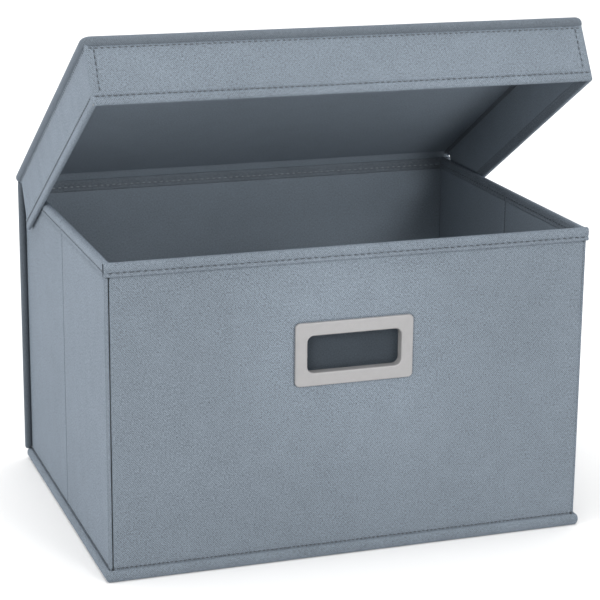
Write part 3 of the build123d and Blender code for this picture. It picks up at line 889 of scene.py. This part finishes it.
def lid_roll_profile(width, outer, inner):
    """The roll round the lid in (out, c), from the panel's edge outwards and down from the top.

    Over the walls' rims it is no deeper than its core, so that the lid can close."""
    points = []
    for x, y, radius, turn in ((width, 0, outer, 0), (0, 0, inner, 1), (width, -ROLL_HEIGHT, outer, 3)):
        if turn == 3:
            over_rim = SKIRT_X - PANEL_X
            points += [(0, -PIPING_HEIGHT), (over_rim, -PIPING_HEIGHT),
                       (over_rim + 0.4 * MM, -ROLL_HEIGHT)]
        cx = x - radius if x > 0 else x + radius
        cy = y + radius if turn == 3 else y - radius
        for step in range(BEAD_STEPS + 1):
            angle = (turn + step / BEAD_STEPS) * math.pi / 2
            points.append((cx + radius * math.cos(angle), cy + radius * math.sin(angle)))
    return points


path, outs = lid_path(PANEL_X, PANEL_FRONT, -0.7 * MM, 4.5 * MM)
sweep("cloth_lid_piping", LID, path, outs, lid_roll_profile(EDGE_X - PANEL_X + 2.4 * MM, 4.1 * MM, 1.2 * MM),
      PIPING, "lid", ["lid_piping"], wave=0.2 * MM)

OUTER_X = SKIRT_X + SKIRT_THICK
OUTER_R = SKIRT_FRONT + SKIRT_THICK
SKIRT_LAP = 0.45 * MM  # the skirt's covers reach this far past their ends
SKIRT_CLOTH = 0.6 * MM
SKIRT_END_SEAM = 6.4 * MM  # from the front skirt's ends to the seams beside them
SKIRTS = [("front", on_lid((0, -OUTER_R, 0), (1, 0, 0), (0, 0, 1), (0, -1, 0)), (-OUTER_X, OUTER_X)),
          ("left", on_lid((-OUTER_X, 0, 0), (0, -1, 0), (0, 0, 1), (-1, 0, 0)),
           (SKIRT_REAR, SKIRT_FRONT + 1 * MM)),
          ("right", on_lid((OUTER_X, 0, 0), (0, 1, 0), (0, 0, 1), (1, 0, 0)),
           (-SKIRT_FRONT - 1 * MM, -SKIRT_REAR))]
for side, matrix, across in SKIRTS:
    at_front = side == "front"
    grooves = [(0, at, 0.6 * MM, 0.3 * MM) for at in shrunk(across, SKIRT_END_SEAM) if at_front]
    soft_box(f"cloth_skirt_{side}_cover", matrix, shrunk(across, -SKIRT_LAP),
             (-SKIRT_DEPTH, -PIPING_HEIGHT + 0.6 * MM), (-SKIRT_THICK, 0), 1.1 * MM, COVER, "lid",
             "cover_cloth", [f"skirt_{side}_cover"], grooves=grooves, wave=0.35 * MM,
             pocket=(0.5 * MM, -SKIRT_CLOTH), streak=0.06 * MM if at_front else 0.16 * MM)
    lining_ends = (-SKIRT_X, SKIRT_X) if at_front else shrunk((-across[1], -across[0]), 0.4 * MM)
    soft_box(f"cloth_skirt_{side}_lining", inside_of(matrix, SKIRT_THICK), lining_ends,
             (-SKIRT_DEPTH + 0.4 * MM, -PIPING_HEIGHT), (-SKIRT_CLOTH, LINING_PROUD), 0.3 * MM,
             LINING, "lid", "lining_cloth", [f"skirt_{side}_lining"], wave=0.2 * MM)

HEM_PROUD = 0.5 * MM  # the skirt's hem past its cover, outside and below
path, outs = lid_path(SKIRT_X, SKIRT_FRONT, SKIRT_REAR, 4 * MM)
profile = hem_profile(-SKIRT_DEPTH + SKIRT_HEM, -SKIRT_DEPTH - HEM_PROUD, -0.4 * MM,
                      SKIRT_THICK + HEM_PROUD, 0.42 * MM, 1.3 * MM, at_top=False, relief=0.6)
sweep("cloth_skirt_hem", LID, path, outs, profile, BINDING, "lid", ["skirt_hem"],
      wave=0.12 * MM)


# ---- cloth hinge: two strips from the back wall's rim to the lid ----
HINGE_CELL = 0.8 * MM
HINGE_SMOOTHING = 3
HINGE_COLUMNS = 90
HINGE_WAVE = 0.084 * MM


def hinge_strip(name, line, thickness, material, half, replaced=()):
    """A strip across the box along line, (y, z) points from the wall to the lid, bent where the line bends."""
    line = np.array(line)
    dense = []
    for first, second in zip(line[:-1], line[1:]):
        count = max(1, int(np.linalg.norm(second - first) / HINGE_CELL))
        dense += [first + (second - first) * step / count for step in range(count)]
    dense.append(line[-1])
    dense = np.array(dense)
    for _ in range(HINGE_SMOOTHING):
        dense[1:-1] = (dense[:-2] + 2 * dense[1:-1] + dense[2:]) / 4
    tangent = np.gradient(dense, axis=0)
    tangent /= np.linalg.norm(tangent, axis=1)[:, None]
    normal = np.column_stack([-tangent[:, 1], tangent[:, 0]])
    loop = np.vstack([dense + normal * thickness / 2, (dense - normal * thickness / 2)[::-1]])
    columns = np.linspace(-half, half, HINGE_COLUMNS)
    ring = len(loop)
    lengths = distances(np.vstack([loop, loop[:1]]))
    points = np.array([(x, y, z) for x in columns for y, z in loop])
    points[:, 1:] += (HINGE_WAVE * waviness(points))[:, None]
    faces, uvs = [], []
    for i in range(len(columns) - 1):
        for j in range(ring):
            k = (j + 1) % ring
            faces.append([i * ring + j, i * ring + k, (i + 1) * ring + k, (i + 1) * ring + j])
            uvs.append([(columns[i], lengths[j]), (columns[i], lengths[j + 1]),
                        (columns[i + 1], lengths[j + 1]), (columns[i + 1], lengths[j])])
    for i in (0, len(columns) - 1):
        faces.append([i * ring + j for j in range(ring)])
        uvs.append([tuple(point) for point in loop])
    piece = build(name, points, faces, uvs, material, None, replaced)
    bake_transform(piece)


def lid_point(r, n):
    """(y, z) of a point of the lid, r from the hinge line and n below the top."""
    point = place(LID, [(0, -r, -n)])[0]
    return point[1], point[2]


outer_line = [(HALF_DEPTH + 1.5 * MM, RIM - HEM + 1 * MM), (HALF_DEPTH + 1.8 * MM, RIM - 1 * MM),
              lid_point(-1.4 * MM, 4.5 * MM), lid_point(-1.0 * MM, 0.6 * MM), lid_point(2.0 * MM, -0.3 * MM),
              lid_point(7 * MM, 0.6 * MM), lid_point(13 * MM, PANEL_FACE - 0.25 * MM)]
hinge_strip("cloth_hinge_outer", outer_line, 0.7 * MM, PIPING,
            EDGE_X + 0.4 * MM, ["lid_hinge_cloth"])
inner_line = [(HALF_DEPTH - WALL + 0.6 * MM, RIM - 0.6 * MM), (HALF_DEPTH - WALL + 0.1 * MM, RIM + 0.6 * MM),
              lid_point(6.2 * MM, PANEL_FACE + WALL + 0.2 * MM),
              lid_point(8.6 * MM, PANEL_FACE + WALL - 0.5 * MM)]
hinge_strip("cloth_hinge_inner", inner_line, 0.6 * MM, LINING,
            EDGE_X - 0.9 * MM)


# ---- seams ----
def flat_line(matrix, first, second):
    """A seam line on a frame's own face, given in its coordinates."""
    ends = place(matrix, [first, second])
    return ends[0], ends[1], matrix[:3, 2]


HEM_SEAM = -SKIRT_DEPTH + SKIRT_HEM - SEAM_SHARE * (SKIRT_HEM + HEM_PROUD)
TOP_SEAM = -ROLL_HEIGHT - 1.3 * MM
HEM_SEAM_LIFT = 0.75 * MM
lines = []
for side, matrix, across in SKIRTS:
    for level, lift in ((HEM_SEAM, HEM_SEAM_LIFT), (TOP_SEAM, 0)):
        lines.append(flat_line(matrix, *[(a, level, lift) for a in shrunk(across, 1.5 * MM)]))
    if side == "front":
        for at in shrunk(across, SKIRT_END_SEAM):
            lines.append(flat_line(matrix, (at, HEM_SEAM + 4 * MM, 0), (at, TOP_SEAM, 0)))
stitches("stitch_skirt", lines, "lid", pitch=4.6 * MM, dash=2.9 * MM)
inset = 3.0 * MM
turns = [(x, y, -PANEL_FACE) for x, y in (
    (-PANEL_X + inset, -PANEL_REAR - inset), (-PANEL_X + inset, -PANEL_FRONT + inset),
    (PANEL_X - inset, -PANEL_FRONT + inset), (PANEL_X - inset, -PANEL_REAR - inset))]
stitches("stitch_lid_top", [flat_line(LID, *pair) for pair in zip(turns[:-1], turns[1:])], "lid")

seam_z = BINDING_TOP + 1.3 * MM
for wall, matrix, body in WALLS:
    ends = [(a, seam_z, 0) for a in shrunk(local_span(f"{wall}_cover", matrix)[0], SEAM_INSET)]
    stitches(f"stitch_{wall}_foot", [flat_line(matrix, *ends)], body, pitch=3.6 * MM,
             dash=2.5 * MM, radius=0.42 * MM)


# ---- camera, floor and light ----
AZIMUTH, ELEVATION, ROLL = math.radians(-19.1), math.radians(15.6), math.radians(0.53)
DISTANCE = 1.7546
LENS, SENSOR = 122.76, 36
TARGET = Vector((0.0064, 0.0, 0.17206))
back = Vector((math.sin(AZIMUTH) * math.cos(ELEVATION), -math.cos(AZIMUTH) * math.cos(ELEVATION),
               math.sin(ELEVATION)))
camera_data = bpy.data.cameras.new("camera")
camera = add_object("camera", camera_data)
flat_right = Vector((math.cos(AZIMUTH), math.sin(AZIMUTH), 0))
flat_up = back.cross(flat_right)
right = math.cos(ROLL) * flat_right + math.sin(ROLL) * flat_up
up = -math.sin(ROLL) * flat_right + math.cos(ROLL) * flat_up
turn = Matrix((right, up, back)).transposed().to_4x4()
camera.matrix_world = Matrix.Translation(TARGET + back * DISTANCE) @ turn
camera_data.lens, camera_data.sensor_width = LENS, SENSOR
camera_data.clip_start, camera_data.clip_end = 0.05, 50
bpy.context.scene.camera = camera

FLOOR_REACH = 9
FLOOR_DROP = 0.2 * MM
floor_mesh = bpy.data.meshes.new("floor")
floor_corners = [(x * FLOOR_REACH, y * FLOOR_REACH, 0) for x, y in ((-1, -1), (1, -1), (1, 1), (-1, 1))]
floor_mesh.from_pydata(floor_corners, [], [(0, 1, 2, 3)])
floor = add_object("floor", floor_mesh)
floor.location.z = -FLOOR_DROP
# Painted light on the floor: its colour is painted darker near the box and lighter further out to even out
# the lamps' falloff, and it glows a little, so that it reads evenly white.
paper = Nodes("paper")
distance = paper.add("ShaderNodeVectorMath", operation="LENGTH")
paper.link(paper.place(), distance.inputs[0])
paper.link(paper.ramp(paper.math("MULTIPLY", distance.outputs["Value"], 0.4),
                      [(0.15, (0.63, 0.63, 0.63)), (0.8, (0.9, 0.9, 0.9))]),
           paper.shader.inputs["Base Color"])
paper.shader.inputs["Roughness"].default_value = 0.9
paper.shader.inputs["Emission Color"].default_value = (1, 1, 1, 1)
paper.shader.inputs["Emission Strength"].default_value = 0.08
floor_mesh.materials.append(paper.material)


def add_light(data, location, target, power):
    """Puts a lamp at location, pointed at target."""
    data.energy = power
    lamp = add_object(data.name, data)
    lamp.location = location
    lamp.rotation_mode = "QUATERNION"
    lamp.rotation_quaternion = (Vector(location) - Vector(target)).to_track_quat("Z", "Y")


def soft_light(name, location, size, power, target=(0, 0, 0.13)):
    data = bpy.data.lights.new(name, "AREA")
    data.shape, data.size = "DISK", size
    add_light(data, location, target, power)


soft_light("overhead", (0.0, 0.2, 2.8), 2.4, 58)
soft_light("key", (-1.3, -2.2, 1.9), 1.6, 8)
soft_light("fill", (0.9, -2.6, 0.3), 0.9, 19)
soft_light("low_front", (0.8, -2.9, 1.15), 0.7, 32, (0, 0.1, 0.23))
soft_light("left", (-2.3, -0.4, 0.9), 1.4, 31)
# A narrow lamp behind the camera, on its line to the hand slot, shows what lies behind it.
slot_fill = bpy.data.lights.new("slot_fill", "SPOT")
slot_fill.spot_size, slot_fill.spot_blend = math.radians(6.5), 1.0
slot_fill.shadow_soft_size = 0.05
slot_middle = Vector((0, -HALF_DEPTH, SLOT_AT[1]))
add_light(slot_fill, slot_middle + (TARGET + back * DISTANCE - slot_middle) * 1.3, slot_middle, 63)
world = bpy.data.worlds.new("studio")
world.use_nodes = True
background = world.node_tree.nodes["Background"]
background.inputs["Color"].default_value = (1, 1, 1, 1)
background.inputs["Strength"].default_value = 1.06
bpy.context.scene.world = world
bpy.context.scene.view_settings.view_transform = "Standard"
